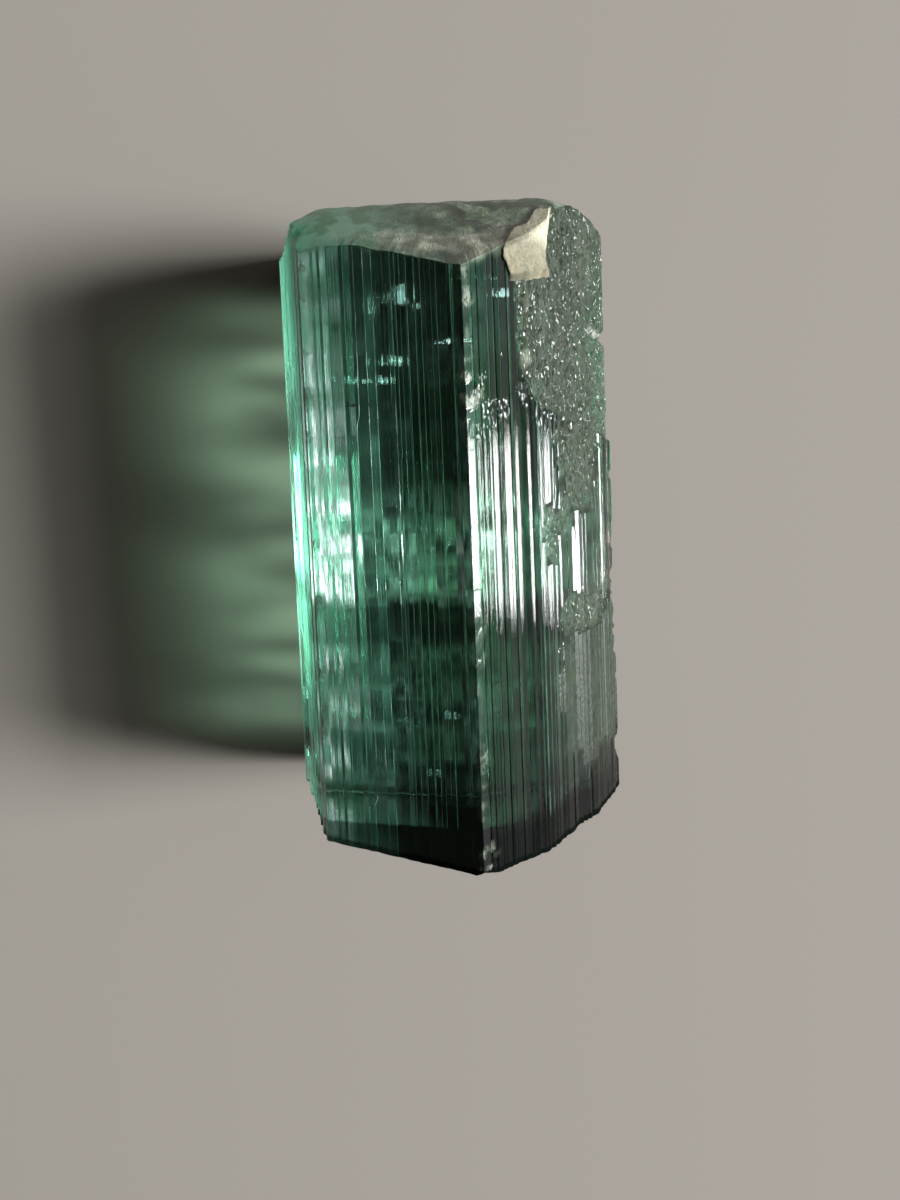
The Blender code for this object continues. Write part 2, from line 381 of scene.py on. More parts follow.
def prismTop(x, y):
    # height of the prism's upper faces, before its head broke off
    corners = (leftHip, leftShoulder, ridge, rightBrow, rightShoulder, rightWaist)
    return profile(ridge[0] + (x - ridge[0]) / narrowing(y), corners)


def slopeHeight(y):
    # height of the sloping break
    way, point, _ = headBreaks["sloping"]
    return (point[1] - y) * way[1] / way[2]


def brokenTop(x, y):
    return np.minimum(prismTop(x, y), slopeHeight(y))


def pits(across, along):
    lean = math.radians(etching["pitLean"])
    wide, tall = etching["pitSize"]
    u = (across * math.cos(lean) - along * math.sin(lean)) / wide
    v = (across * math.sin(lean) + along * math.cos(lean)) / tall
    return smoothStep(0.55, 0.1, cellsOver(u, v))


def etchMask(x, y, z):
    # 1 where the surface is eaten away, 0 where its ribs are fresh
    coarse, middle, fine = etching["raggedness"]
    ragged = coarse * noiseOver(x * 1.3, y * 0.8, z * 0.4) + middle * noiseOver(x * 4.0, y * 2.6, z)
    ragged = ragged + fine * noiseOver(x * 11 - y * 4, y * 4.5, z)
    mask = smoothStep(-0.04, 0.06, x - profile(y, etching["edge"]) + ragged)
    for oval in etching["patches"]:
        away = np.sqrt(ovalDistance(x, y, oval))
        mask = np.maximum(mask, smoothStep(1.02, 0.88, away + 1.8 * ragged))
    return mask * (x > 1.4) * (z > 1.2)


def eatenDepth(x, y, z, etch):
    # how far the surface lies below the fresh faces
    lumps = noiseOver(x * 1.7, y * 1.2, z) + 0.5 * noiseOver(x * 4.5, y * 3.4, z * 2)
    pitted = np.where(etch > 0, pits(np.hypot(x - ridge[0], z - ridge[1]), y), 0.0)
    depth = etch * (etching["patchDepth"] + 0.05 * lumps + etching["pitDepth"] * pitted)
    corner = smoothStep(1.8, 3.6, y) * smoothStep(2.2, 3.2, x)
    depth += etch * corner * (etching["cornerDepth"] + 0.03 * lumps)
    depth *= 1 - 0.75 * smoothStep(3.7, 4.4, x) * smoothStep(1.8, 3.0, y)
    notchY, notchHalf, notchDepth = etching["notch"]
    cut = np.exp(-(((y - notchY - 0.12 * (x - 4.4)) / notchHalf) ** 2))
    depth += notchDepth * cut * smoothStep(3.2, 4.4, x) * smoothStep(0.8, 2.0, z)
    nearRidge = np.exp(-(((x - 0.88) / 0.13) ** 2)) * (z > 5)
    worn = profile(y, etching["wearDepth"]) * smoothStep(0.0, 0.5, noiseOver(x * 6.0, y * 3.2, 9.0))
    return depth + etching["ridgeWear"] * nearRidge * worn


def closeEnd(rim, start, rings, endAt, narrow, flip):
    # points and faces that close in on the middle of an end, from the rim's first point number and the next free one
    first, free = start
    count = len(rim)
    middle = np.array(crystal["endMiddle"])
    flat = rim[:, [0, 2]]

    def endFor(spot):
        return endAt(ridge[0] + (spot[:, 0] - ridge[0]) / narrow, spot[:, 1])

    rimShift = rim[:, 1] - endFor(flat)
    points, faces = [], []
    for ring in range(1, rings):
        near = 1 - (ring / rings) ** 1.25
        spot = middle + (flat - middle) * near
        ringY = endFor(spot) + rimShift * (1 - smoothStep(0.0, 0.12, 1 - near))
        points.append(np.stack([spot[:, 0], ringY, spot[:, 1]], -1))
        faces += ringFaces(first, free, count)
        first, free = free, free + count
    points.append(np.array([[middle[0], float(endAt(middle[:1], middle[1:])[0]), middle[1]]]))
    faces += fanFaces(first, free, count)
    return np.concatenate(points), [face[::-1] for face in faces] if flip else faces


def makeCrystal(material):
    sides = makeRibs()
    half = crystal["halfLength"]
    coarse, fine = crystal["stationGap"]
    clean = np.arange(-half, crystal["etchedFrom"], coarse)
    ys = np.concatenate([clean, np.arange(crystal["etchedFrom"], half + fine, fine)])
    ys[-1] = half
    sections = [outlineAt(sides, y) for y in ys]
    stations, columns = len(ys), len(sections[0][0])
    ribbed = np.stack([s[0] for s in sections])  # station, column, (x, z)
    plain = np.stack([s[1] for s in sections])
    outward = sections[0][2]
    # each column runs from the foot's surface to the head's
    foot, head = (endAt(plain[0, :, 0], plain[0, :, 1]) for endAt in (footEnd, headEnd))
    y = foot + (head - foot) * ((ys + half) / (2 * half))[:, None]
    px, pz = plain[:, :, 0], plain[:, :, 1]
    etch = etchMask(px, y, pz)
    shape = ribbed + (plain - ribbed) * etch[:, :, None] - outward[None] * eatenDepth(px, y, pz, etch)[:, :, None]
    outX = ridge[0] + (shape[:, :, 0] - ridge[0]) * narrowing(y)
    points = np.stack([outX, y, np.maximum(shape[:, :, 1], 0.0)], -1).reshape(-1, 3)
    faces = []
    for station in range(stations - 1):
        faces += ringFaces(station * columns, (station + 1) * columns, columns)
    prism, last = len(points), (stations - 1) * columns
    footCap = closeEnd(points[:columns], (0, prism), crystal["footRings"], footEnd, narrowing(y)[0], True)
    headStart = (last, prism + len(footCap[0]))
    headCap = closeEnd(points[last:], headStart, crystal["headRings"], headEnd, narrowing(y)[-1], False)
    points = np.concatenate([points, footCap[0], headCap[0]])
    faces += footCap[1] + headCap[1]
    pitted, frost = np.zeros(len(points)), np.zeros(len(points))
    pitted[:prism] = frost[:prism] = etch.ravel()
    frost[last:prism] = 1.0
    frost[headStart[1]:] = 1.0
    piece = addPiece("tourmalineBody", points, faces, material, surfaceMasks(points, frost, pitted))
    piece.data.set_sharp_from_angle(angle=math.radians(crystal["sharpFrom"]))
    print("crystal:", columns, "columns,", stations, "stations,", len(faces), "faces")
    return piece


def wearMask(x, y, z, uneven):
    # white wear on the ridge, on the left edge and round the notch
    broken = smoothStep(-0.05, 0.2, noiseOver(x * 3.5, y * 3.6, z * 2.0))
    near = (np.abs(x - 0.9) + 0.3 * uneven) / profile(y, etching["wearReach"])
    worn = smoothStep(1.0, 0.3, near) * profile(y, etching["wearShare"]) * broken * (z > 7.0)
    edge = smoothStep(0.2, 0.0, np.abs(z - 6.6)) * (x < -2.5) * smoothStep(0.12, 0.32, noiseOver(x, y * 2.4, z))
    rim = np.exp(-(((y - etching["notch"][0] - 0.12) / 0.07) ** 2)) * (x > 4.0) * (z > 2.4) * (z < 4.6)
    return worn, np.maximum.reduce([worn, edge, rim])


def filmMask(x, y, z, past, onTop, uneven):
    # brown film along the broken head's edge, and stains beside it
    wide = profile(x, etching["filmWidth"])
    bites = 0.5 * noiseOver(x * 1.1, y * 1.4, 7.0) + 0.3 * noiseOver(x * 4 - y * 2, y * 3, 2.0)
    film = smoothStep(0.25, -0.2, np.abs(past - wide / 2 - 0.1) - wide / 2 + bites) * onTop * (wide > 0.01)
    for oval in etching["stains"]:
        stain = smoothStep(1.5, 0.2, ovalDistance(x, y, oval) + 1.5 * uneven) * (z > 5)
        film = np.maximum(film, etching["stainFilm"] * stain)
    return film


def surfaceMasks(points, frost, pitted):
    x, y, z = points.T
    way, point, _ = headBreaks["sloping"]
    past = y - (point[1] - prismTop(x, 6.5) * way[2] / way[1])  # from where the slope meets the upper faces
    onTop = z > prismTop(x, y) - 1.6
    uneven = noiseOver(x * 1.3, y * 1.9, z * 0.7)
    worn, chip = wearMask(x, y, z, uneven)
    film = filmMask(x, y, z, past, onTop, uneven)
    leftCloud = smoothStep(-0.8, 0.1, past + 0.4 * uneven) * smoothStep(-1.4, -2.8, x)
    headCloud = smoothStep(-0.05, 0.1, past + 0.2 * uneven) * (x < ridge[0])
    clouded = np.maximum(leftCloud, headCloud) * (y > 4) * onTop
    flank = 0.2 * smoothStep(-2.9, -3.3, x) + 0.45 * smoothStep(-1.9, -3.1, x) * smoothStep(2.2, 5.0, y)
    frost = np.maximum.reduce([frost, clouded, flank * (y > -8.1), 0.9 * worn])
    for oval in etching["clouds"]:
        cloud = smoothStep(1.2, 0.6, ovalDistance(x, y, oval) + 0.6 * uneven) * (z > 1)
        frost = np.maximum(frost, etching["cloudFrost"] * cloud)
    frayed = smoothStep(0.0, 0.2, noiseOver(x * 3.0, y * 2.2, 5.0)) * smoothStep(1.7, 2.5, y) * smoothStep(4.2, 3.3, y)
    pitted = np.maximum(pitted, 0.6 * frayed * (x > 1.0) * (x < 3.6) * (z > 4))
    band = np.exp(-(((x - 2.75 - 0.35 * (7.4 - y)) / 0.35) ** 2))
    glint = np.clip(0.75 + 0.3 * band + 0.8 * noiseOver(x * 1.5, y * 1.2, z), 0, 1)
    glint = pitted * glint * profile(y, etching["glintShare"])
    return {"frost": frost, "pitted": pitted, "glint": glint, "chip": chip, "film": film}


# Looks
glass = {
    "ior": 1.63,
    "absorbColour": (0.30, 0.80, 0.64, 1.0),
    "absorbDensity": 250.0,  # per metre
    # colour of the frosted glass: painted shade on the left, painted light on the right
    "dullShadedLeft": (0.10, 0.17, 0.10, 1.0),
    "dullLitRight": (0.55, 0.62, 0.50, 1.0),
    "shadeRightColour": (0.17, 0.34, 0.20, 1.0),  # a darker tint right of the ridge: painted shade for the dark look of the glass there
    "striae": 0.3,  # depth of the fine lines
    "rightStriae": 1.3,  # how many times deeper they are right of the ridge
    "clearRoughness": 0.015,
    "frostRoughness": 0.38,
    "pittedRoughness": 0.05,
    "facetWay": (0.46, -0.14, 0.87),  # the way that the etched faces look
    "facetShare": 0.85,
    "facetSpread": 0.8,
    "facetCells": (30.0, 14.0, 26.0),  # to a millimetre
    "lean": math.radians(30),  # of the etched faces and the grain
    "frostColour": (0.26, 0.38, 0.22, 1.0),
    "frostPale": (0.50, 0.60, 0.48, 1.0),
    "frostShare": 0.06,
    "chipColour": (0.58, 0.62, 0.54, 1.0),
    "filmColour": (0.68, 0.70, 0.56, 1.0),
    # near-black colour of the painted shade at the foot
    "paintedShadeColour": (0.002, 0.004, 0.003, 1.0),
}

# where the glass changes, as (from, to) in millimetres
zones = {
    "rightStriae": (0.8, 1.0),
    "dullAcross": (-1.2, 1.6),
    "hazeAcross": (-1.4, 1.3),
    "shadeRightFrom": (0.85, 1.0),
    "shadeRightTo": (1.9, 2.7),
    "shadeRightHead": (3.4, 4.6),
    # where the painted shade at the foot lies, and the band beside it
    "foot": (-8.0, -8.12),
    "footLeftHeight": (3.9, 4.3),
    "footLeft": (-1.5, -0.8),
    "footRightHeight": (1.0, 1.8),
    "footRight": (0.3, 0.9),
    "footBand": (-6.9, -7.5),
    "footBandFrom": (1.0, 1.1),
    "footBandTo": (2.2, 3.6),
}

# painted light on the floor under the crystal, as (place, share of the light), set through the crystal's shadow tint
floorUnder = {
    "along": ((-8.25, 0.02), (-7.5, 0.2), (-4.0, 0.22), (-3.5, 0.05), (-2.6, 0.03), (-2.2, 0.7),
              (-0.4, 0.7), (0.4, 0.3), (1.0, 0.04), (8.25, 0.02)),
    "leftAlong": ((-8.25, 0.05), (-7.5, 0.45), (-4.2, 0.75), (-3.5, 0.55), (-2.6, 0.65), (-2.0, 1.1),
                  (2.6, 1.1), (3.9, 0.95), (5.2, 0.75), (8.25, 0.5)),
    "across": ((-4.8, 1.0), (-1.8, 1.0), (-1.2, 0.45), (-0.6, 0.19), (0.1, 0.06), (0.9, 0.02), (4.8, 0.0)),
    "halfWidth": 4.8,
    "leftGain": 1.6,
    "streaks": (0.05, 2.2),  # darkest and lightest
    "blotches": (0.12, 1.9),
    # darkest and lightest of the blocky patches of painted light
    "steps": (0.45, 1.55),
    # colours of the painted light under and beside the crystal
    "underTint": (2.3, 1.35, 1.7),
    "besideTint": (1.7, 0.95, 1.0),
    "underHeight": 0.3,  # the surface below this height lights the floor under the crystal
}


def makeGrainGroup():
    # a shared effect: uneven grain in millimetres, as a height and a mask
    group = bpy.data.node_groups.new("mineralGrain", "ShaderNodeTree")
    sockets = group.interface
    sockets.new_socket("Vector", in_out="INPUT", socket_type="NodeSocketVector")
    sockets.new_socket("Size", in_out="INPUT", socket_type="NodeSocketFloat").default_value = 5.0
    sockets.new_socket("Contrast", in_out="INPUT", socket_type="NodeSocketFloat").default_value = 0.5
    sockets.new_socket("Height", in_out="OUTPUT", socket_type="NodeSocketFloat")
    sockets.new_socket("Mask", in_out="OUTPUT", socket_type="NodeSocketFloat")
    entry = addNode(group, "NodeGroupInput")
    leave = addNode(group, "NodeGroupOutput")
    where, size = entry.outputs["Vector"], entry.outputs["Size"]
    broad = addNode(group, "ShaderNodeTexNoise", {"Vector": where, "Scale": size, "Detail": 4.0, "Roughness": 0.65})
    cells = addNode(group, "ShaderNodeTexVoronoi", {"Vector": where, "Scale": addProduct(group, size, 2.1)})
    height = addMath(group, "ADD", broad.outputs["Fac"], addProduct(group, cells.outputs["Distance"], 0.5))
    centred = addMath(group, "SUBTRACT", height, 0.72)
    spread = addProduct(group, centred, entry.outputs["Contrast"], 6.0)
    mask = addNode(group, "ShaderNodeClamp", {"Value": addMath(group, "ADD", spread, 0.5)}).outputs[0]
    group.links.new(height, leave.inputs["Height"])
    group.links.new(mask, leave.inputs["Mask"])
    return group


def addGrain(tree, group, where, size, contrast):
    node = addNode(tree, "ShaderNodeGroup", node_tree=group)
    for name, value in (("Vector", where), ("Size", size), ("Contrast", contrast)):
        setSocket(tree, node.inputs[name], value)
    return node.outputs["Height"], node.outputs["Mask"]


def startMaterial(name):
    # an empty material, with Object coordinates in millimetres
    material = bpy.data.materials.new(name)
    material.use_nodes = True
    tree = material.node_tree
    tree.nodes.clear()
    coords = addNode(tree, "ShaderNodeTexCoord")
    return material, tree, stretched(tree, coords.outputs["Object"], (1000, 1000, 1000))


def stretched(tree, where, scale, turn=0.0):
    return addNode(tree, "ShaderNodeMapping", {"Vector": where, "Scale": scale, "Rotation": (0, 0, turn)}).outputs[0]


def shadowTint(tree, where):
    # Painted light: streaks of light on the floor beside and under the crystal, set by the tint it gives to shadow rays
    # in place of traced caustics.
    x, y, z = splitVector(tree, where)
    low = addRange(tree, z, 3.2, 0.9)
    middle = addRange(tree, addMath(tree, "ABSOLUTE", addMath(tree, "ADD", y, 0.3)), 7.8, 5.2)
    waves = addRange(tree, addNoise(tree, stretched(tree, where, (0.0, 1.0, 0.9))), 0.3, 0.7, 0.35, 1.5)
    beside = scaledVector(tree, addProduct(tree, low, middle, waves), floorUnder["besideTint"])
    side = mixColour(tree, addMath(tree, "GREATER_THAN", x, 0.0), beside, (1, 1, 1, 1))
    return mixColour(tree, addMath(tree, "LESS_THAN", z, floorUnder["underHeight"]), side, underTint(tree, where))


def underTint(tree, where):
    # painted light on the floor under the crystal: long streaks, blotches and blocky patches
    x, y, _ = splitVector(tree, where)
    streaks = addNoise(tree, stretched(tree, where, (11.0, 0.8, 0.0)), detail=6.0)
    blotches = addNoise(tree, stretched(tree, where, (1.6, 1.3, 0.0)), detail=4.0)
    cellPlace = stretched(tree, where, (1.7, 1.1, 0.0))
    steps = addNode(tree, "ShaderNodeTexVoronoi", {"Vector": cellPlace, "Scale": 1.0}, distance="CHEBYCHEV")
    blocky = addNode(tree, "ShaderNodeSeparateColor", {0: steps.outputs["Color"]}).outputs[0]
    fine = addRange(tree, streaks, 0.4, 0.62, *floorUnder["streaks"])
    patchy = addProduct(
        tree, fine, addRange(tree, blotches, 0.34, 0.66, *floorUnder["blotches"]),
        addRange(tree, blocky, 0.0, 1.0, *floorUnder["steps"]), addRange(tree, x, 2.4, 3.2, 1.0, 0.3),
    )
    shift = addProduct(tree, addMath(tree, "SUBTRACT", blotches, 0.5), 0.8)
    half = crystal["halfLength"]
    along = addRamp(tree, addMath(tree, "ADD", y, shift), half, floorUnder["along"])
    glow = addProduct(
        tree, addRamp(tree, y, half, floorUnder["leftAlong"]),
        addRamp(tree, x, floorUnder["halfWidth"], floorUnder["across"]),
        addRange(tree, fine, *floorUnder["streaks"], 0.5, 1.5), addRange(tree, blocky, 0.0, 1.0, 0.75, 1.15),
        floorUnder["leftGain"],
    )
    under = addMath(tree, "ADD", addProduct(tree, along, patchy), glow)
    return scaledVector(tree, under, floorUnder["underTint"])


def etchedNormal(tree, where, masks, grainHeight):
    # fine lines along the ribs, rough grain where it is frosted, and small etched faces, each with its own tilt
    frost, pitted, glint = masks["frost"], masks["pitted"], masks["glint"]
    x, _, _ = splitVector(tree, where)
    lines = addProduct(
        tree, addNoise(tree, stretched(tree, where, (18, 0.15, 18)), detail=5.0),
        addRange(tree, frost, 0.0, 0.9, glass["striae"], 0.1),
        addRange(tree, x, *zones["rightStriae"], 1.0, glass["rightStriae"]),
    )
    height = addMath(tree, "ADD", lines, addProduct(tree, grainHeight, frost, 0.7))
    bump = addNode(tree, "ShaderNodeBump", {"Height": height, "Distance": 0.03 * mm, "Strength": 0.6}).outputs[0]
    cellPlace = stretched(tree, where, glass["facetCells"], glass["lean"])
    cells = addNode(tree, "ShaderNodeTexVoronoi", {"Vector": cellPlace, "Scale": 1.0})
    tilt = addVector(tree, "SUBTRACT", cells.outputs["Color"], (0.5, 0.5, 0.5))
    turned = scaledVector(tree, addProduct(tree, pitted, glass["facetSpread"]), tilt)
    shared = scaledVector(tree, addProduct(tree, glint, glass["facetShare"]), glass["facetWay"])
    kept = scaledVector(tree, addMath(tree, "SUBTRACT", 1.0, addProduct(tree, glint, 0.75)), bump)
    joined = addVector(tree, "ADD", addVector(tree, "ADD", kept, turned), shared)
    return addNode(tree, "ShaderNodeVectorMath", {0: joined}, operation="NORMALIZE").outputs[0]


def paintedFootShade(tree, where):
    # painted shade: a near-black surface over the foot's end and a band beside it, for the dark look of the foot
    x, y, z = splitVector(tree, where)
    left = addRange(tree, x, *zones["footLeft"], 0.7, 1.0)
    left = addProduct(tree, left, addRange(tree, z, *zones["footLeftHeight"]))
    right = addProduct(tree, addRange(tree, z, *zones["footRightHeight"]), addRange(tree, x, *zones["footRight"]))
    end = addProduct(tree, addRange(tree, y, *zones["foot"]), addLargest(tree, left, right))
    band = addProduct(
        tree, addRange(tree, x, *zones["footBandFrom"], 0.0, 0.6), addRange(tree, x, *zones["footBandTo"], 1.0, 0.4),
        addRange(tree, y, *zones["footBand"]),
    )
    return addLargest(tree, end, band)


def makeTourmaline(grainGroup):
    material, tree, where = startMaterial("tourmalineGlass")
    names = ("frost", "pitted", "glint", "chip", "film")
    masks = {name: addNode(tree, "ShaderNodeAttribute", attribute_name=name).outputs["Fac"] for name in names}
    frost, pitted, _, chip, film = masks.values()
    x, y, _ = splitVector(tree, where)
    _, grainMask = addGrain(tree, grainGroup, where, 3.2, 0.7)
    slanted = stretched(tree, where, (2.4, 1.0, 1.6), glass["lean"])
    slantedHeight, slantedMask = addGrain(tree, grainGroup, slanted, 4.5, 0.9)
    normal = etchedNormal(tree, where, masks, slantedHeight)
    rough = addRange(tree, frost, 0.1, 0.9, glass["clearRoughness"], glass["frostRoughness"])
    rough = addNode(tree, "ShaderNodeMix", {0: pitted, 2: rough, 3: glass["pittedRoughness"]}).outputs[0]
    mottle = addNoise(tree, stretched(tree, where, (1.5, 1.0, 1.2), math.radians(35)), detail=5.0)
    uneven = addRange(tree, mottle, 0.42, 0.58)
    # the clear glass, dulled where it is frosted; the dulled colour is darker on the left and paler on the right,
    # painted shade and painted light from the lamps' side
    dulled = addProduct(
        tree, addRange(tree, frost, 0.3, 1.0), addRange(tree, uneven, 0.0, 1.0, 1.0, 0.6),
        addRange(tree, pitted, 0.0, 1.0, 1.0, 0.4),
    )
    dullColour = mixColour(tree, addRange(tree, x, *zones["dullAcross"]), glass["dullShadedLeft"], glass["dullLitRight"])
    # painted shade: the glass right of the ridge is tinted darker, less so towards the head
    deep = addProduct(
        tree, addRange(tree, x, *zones["shadeRightFrom"]), addRange(tree, x, *zones["shadeRightTo"], 1.0, 0.0),
        addRange(tree, y, *zones["shadeRightHead"], 1.0, 0.35),
    )
    clearColour = mixColour(tree, dulled, mixColour(tree, deep, (1, 1, 1, 1), glass["shadeRightColour"]), dullColour)
    clear = addSurface(tree, {
        "Base Color": clearColour, "Transmission Weight": 1.0, "IOR": glass["ior"],
        "Roughness": rough, "Normal": normal,
    })
    # the pale surface of frost, film and chips, and where it shows
    paleColour = mixColour(tree, grainMask, glass["frostColour"], glass["frostPale"])
    paleColour = mixColour(tree, film, paleColour, glass["filmColour"])
    paleColour = mixColour(tree, chip, paleColour, glass["chipColour"])
    pale = addSurface(tree, {"Base Color": paleColour, "Roughness": 0.6, "Normal": normal})
    frosted = addProduct(
        tree, frost, glass["frostShare"], addRange(tree, slantedMask, 0.0, 1.0, 0.35, 1.5),
        addRange(tree, pitted, 0.0, 1.0, 1.0, 1.7),
    )
    # the haze grows towards the right: frost with painted light from the lamps' side
    hazed = addProduct(
        tree, addRange(tree, frost, 0.92, 0.99), addMath(tree, "SUBTRACT", 1.0, pitted),
        addRange(tree, x, *zones["hazeAcross"], 0.02, 0.5), addRange(tree, uneven, 0.0, 1.0, 0.15, 1.1),
    )
    filmed = addProduct(tree, film, addRange(tree, uneven, 0.0, 1.0, 0.3, 0.75))
    chipped = addProduct(tree, chip, addRange(tree, slantedMask, 0.2, 0.9, 0.1, 0.9))
    surface = mixShader(tree, addLargest(tree, frosted, hazed, filmed, chipped), clear, pale)
    # a near-black, hardly shiny surface that paints shade on the foot
    black = addSurface(tree, {
        "Base Color": glass["paintedShadeColour"], "Roughness": 0.8, "Specular IOR Level": 0.1, "Normal": normal,
    })
    surface = mixShader(tree, paintedFootShade(tree, where), surface, black)
    through = addNode(tree, "ShaderNodeBsdfTransparent", {"Color": shadowTint(tree, where)}).outputs[0]
    shadowRay = addNode(tree, "ShaderNodeLightPath").outputs["Is Shadow Ray"]
    seen = mixShader(tree, shadowRay, surface, through)
    inside = addNode(tree, "ShaderNodeVolumeAbsorption", {
        "Color": glass["absorbColour"], "Density": glass["absorbDensity"],
    })
    addNode(tree, "ShaderNodeOutputMaterial", {"Surface": seen, "Volume": inside.outputs[0]})
    return material


floorPlan = {
    "half": 0.4,  # metres
    "low": -0.00002,
    "colour": (0.43, 0.40, 0.36, 1.0),
    "roughness": 0.9,
}


def makeFloor():
    mesh = bpy.data.meshes.new("floor")
    half, low = floorPlan["half"], floorPlan["low"]
    corners = [(-half, -half, low), (half, -half, low), (half, half, low), (-half, half, low)]
    mesh.from_pydata(corners, [], [(0, 1, 2, 3)])
    material = bpy.data.materials.new("paleFloor")
    material.use_nodes = True
    shader = material.node_tree.nodes["Principled BSDF"]
    shader.inputs["Base Color"].default_value = floorPlan["colour"]
    shader.inputs["Roughness"].default_value = floorPlan["roughness"]
    mesh.materials.append(material)
    addObject("floor", mesh)


# The crust of matrix on the broken head. Places are seen from above, in millimetres.
crust = {
    "outline": ((3.05, 7.55), (2.98, 7.2), (2.82, 6.25), (2.9, 5.75), (2.41, 5.48), (1.87, 5.38),
                (1.66, 5.79), (1.64, 6.09), (1.95, 6.81), (2.38, 6.97), (2.66, 7.5)),
    "middle": (2.4, 6.25),
    "points": 170,  # round the edge
    "rings": 30,
    "proud": 0.055,
    "sunk": 0.32,
    "deep": 0.44,  # of its lowest point, below the break
    "soft": 0.28,  # rounding where it bends over the break
    "lumps": 0.022,
    "calmHead": 0.5,  # how much flatter the lumps are towards the head
    "ragged": 0.05,
    "cream": (0.31, 0.305, 0.225, 1.0),
    "tan": (0.285, 0.27, 0.195, 1.0),
    "paintedLightColour": (0.62, 0.60, 0.46, 1.0),  # paler towards the head: painted light where the crust faces away from the lamps
    "brown": (0.26, 0.23, 0.16, 1.0),
    "paintedLightFrom": (6.15, 6.6),
    "brownTo": (5.8, 6.1),
    "reliefTo": (5.8, 6.3),
}

grains = {
    "density": 60.0,  # to a square millimetre
    "size": (0.006, 0.014),
    "stretch": ((0.6, 0.6, 0.6), (1.3, 1.1, 1.2)),
    "seed": 3,
}


def crustRim():
    # the ragged outline, as evenly spaced points
    corners = np.array(crust["outline"])
    steps = np.linalg.norm(np.roll(corners, -1, 0) - corners, axis=1)
    places = np.concatenate([[0], np.cumsum(steps)])
    walk = np.linspace(0, places[-1], crust["points"], endpoint=False)
    closed = np.vstack([corners, corners[:1]])
    rim = np.stack([np.interp(walk, places, closed[:, axis]) for axis in (0, 1)], 1)
    outwards = rim - crust["middle"]
    outwards = outwards / np.linalg.norm(outwards, axis=1)[:, None]
    x, y = rim.T
    ragged = noiseOver(x * 3.2, y * 3.2, 6.0) + 0.5 * noiseOver(x * 9, y * 9, 2.0)
    return rim + outwards * (crust["ragged"] * ragged)[:, None]


def crustTop(x, y, inward):
    # lumpy, rounded where it bends over the break, and sunk at its rim
    proud, sunk, soft = crust["proud"], crust["sunk"], crust["soft"]
    rise = smoothStep(-0.01, 0.16, inward) * (proud + sunk) - sunk
    lumps = noiseOver(x * 2.6, y * 2.1, 3.0) + 0.7 * noiseOver(x * 6.5, y * 5.0, 9.0)
    lumps = (lumps + 0.4 * noiseOver(x * 15, y * 11)) * smoothStep(0.0, 0.1, inward)
    lumps = lumps * (1 - crust["calmHead"] * smoothStep(5.6, 6.1, y))
    bend = np.exp(-prismTop(x, y) / soft) + np.exp(-slopeHeight(y) / soft)
    rounded = np.minimum(0.69 * soft - soft * np.log(bend), brokenTop(x, y) + 0.05)
    return np.maximum(rounded, brokenTop(x, y)) + rise + crust["lumps"] * lumps


def makeCrust(material):
    rim, middle = crustRim(), np.array(crust["middle"])
    count, rings = crust["points"], crust["rings"]
    reach = np.linalg.norm(rim - middle, axis=1)
    points, faces = [], []
    for ring in range(rings):
        share = 1 - (ring / rings) ** 1.4
        x, y = (middle + (rim - middle) * share).T
        points.append(np.stack([x, y, crustTop(x, y, reach * (1 - share))], 1))
    for ring in range(rings - 1):
        faces += [(a, d, c, b) for a, b, c, d in ringFaces(ring * count, (ring + 1) * count, count)]
    low = float(brokenTop(*middle))
    points += [np.array([[*middle, low + crust["proud"]]]), np.array([[*middle, low - crust["deep"]]])]
    last, tip = (rings - 1) * count, rings * count
    for upper, lower in zip(fanFaces(last, tip, count), fanFaces(0, tip + 1, count)):
        faces += [(upper[0], upper[2], upper[1]), lower]
    piece = addPiece("matrixCrust", np.concatenate(points), faces, material)
    turnOutward(piece)
    print("crust:", len(faces), "faces")
    return piece


def turnOutward(piece):
    # faces point outwards on a closed piece
    work = bmesh.new()
    work.from_mesh(piece.data)
    bmesh.ops.recalc_face_normals(work, faces=work.faces)
    if work.calc_volume(signed=True) < 0:
        bmesh.ops.reverse_faces(work, faces=work.faces)
    work.to_mesh(piece.data)
    work.free()


def startTree(name, sockets):
    # a Geometry Nodes tree with named inputs, which sets a material on what it makes
    tree = bpy.data.node_groups.new(name, "GeometryNodeTree")
    for label, kind in {"Geometry": "Geometry", **sockets, "Seed": "Int", "Material": "Material"}.items():
        tree.interface.new_socket(label, in_out="INPUT", socket_type="NodeSocket" + kind)
    tree.interface.new_socket("Geometry", in_out="OUTPUT", socket_type="NodeSocketGeometry")
    return tree, addNode(tree, "NodeGroupInput").outputs


def randomVector(tree, low, high, seed=0):
    node = addNode(tree, "FunctionNodeRandomValue", data_type="FLOAT_VECTOR")
    for name, value in ((0, low), (1, high), ("Seed", seed)):
        setSocket(tree, node.inputs[name], value)
    return node.outputs[0]


def scatter(tree, entry, points, shape, turn, size):
    # a copy of the shape on each point, as real faces with the tree's material
    placed = addNode(tree, "GeometryNodeInstanceOnPoints", {
        "Points": points, "Instance": shape, "Rotation": turn, "Scale": size,
    })
    solid = addNode(tree, "GeometryNodeRealizeInstances", {"Geometry": placed.outputs[0]})
    finish = addNode(tree, "GeometryNodeSetMaterial", {"Geometry": solid.outputs[0], "Material": entry["Material"]})
    tree.links.new(finish.outputs[0], addNode(tree, "NodeGroupOutput").inputs["Geometry"])
    return tree


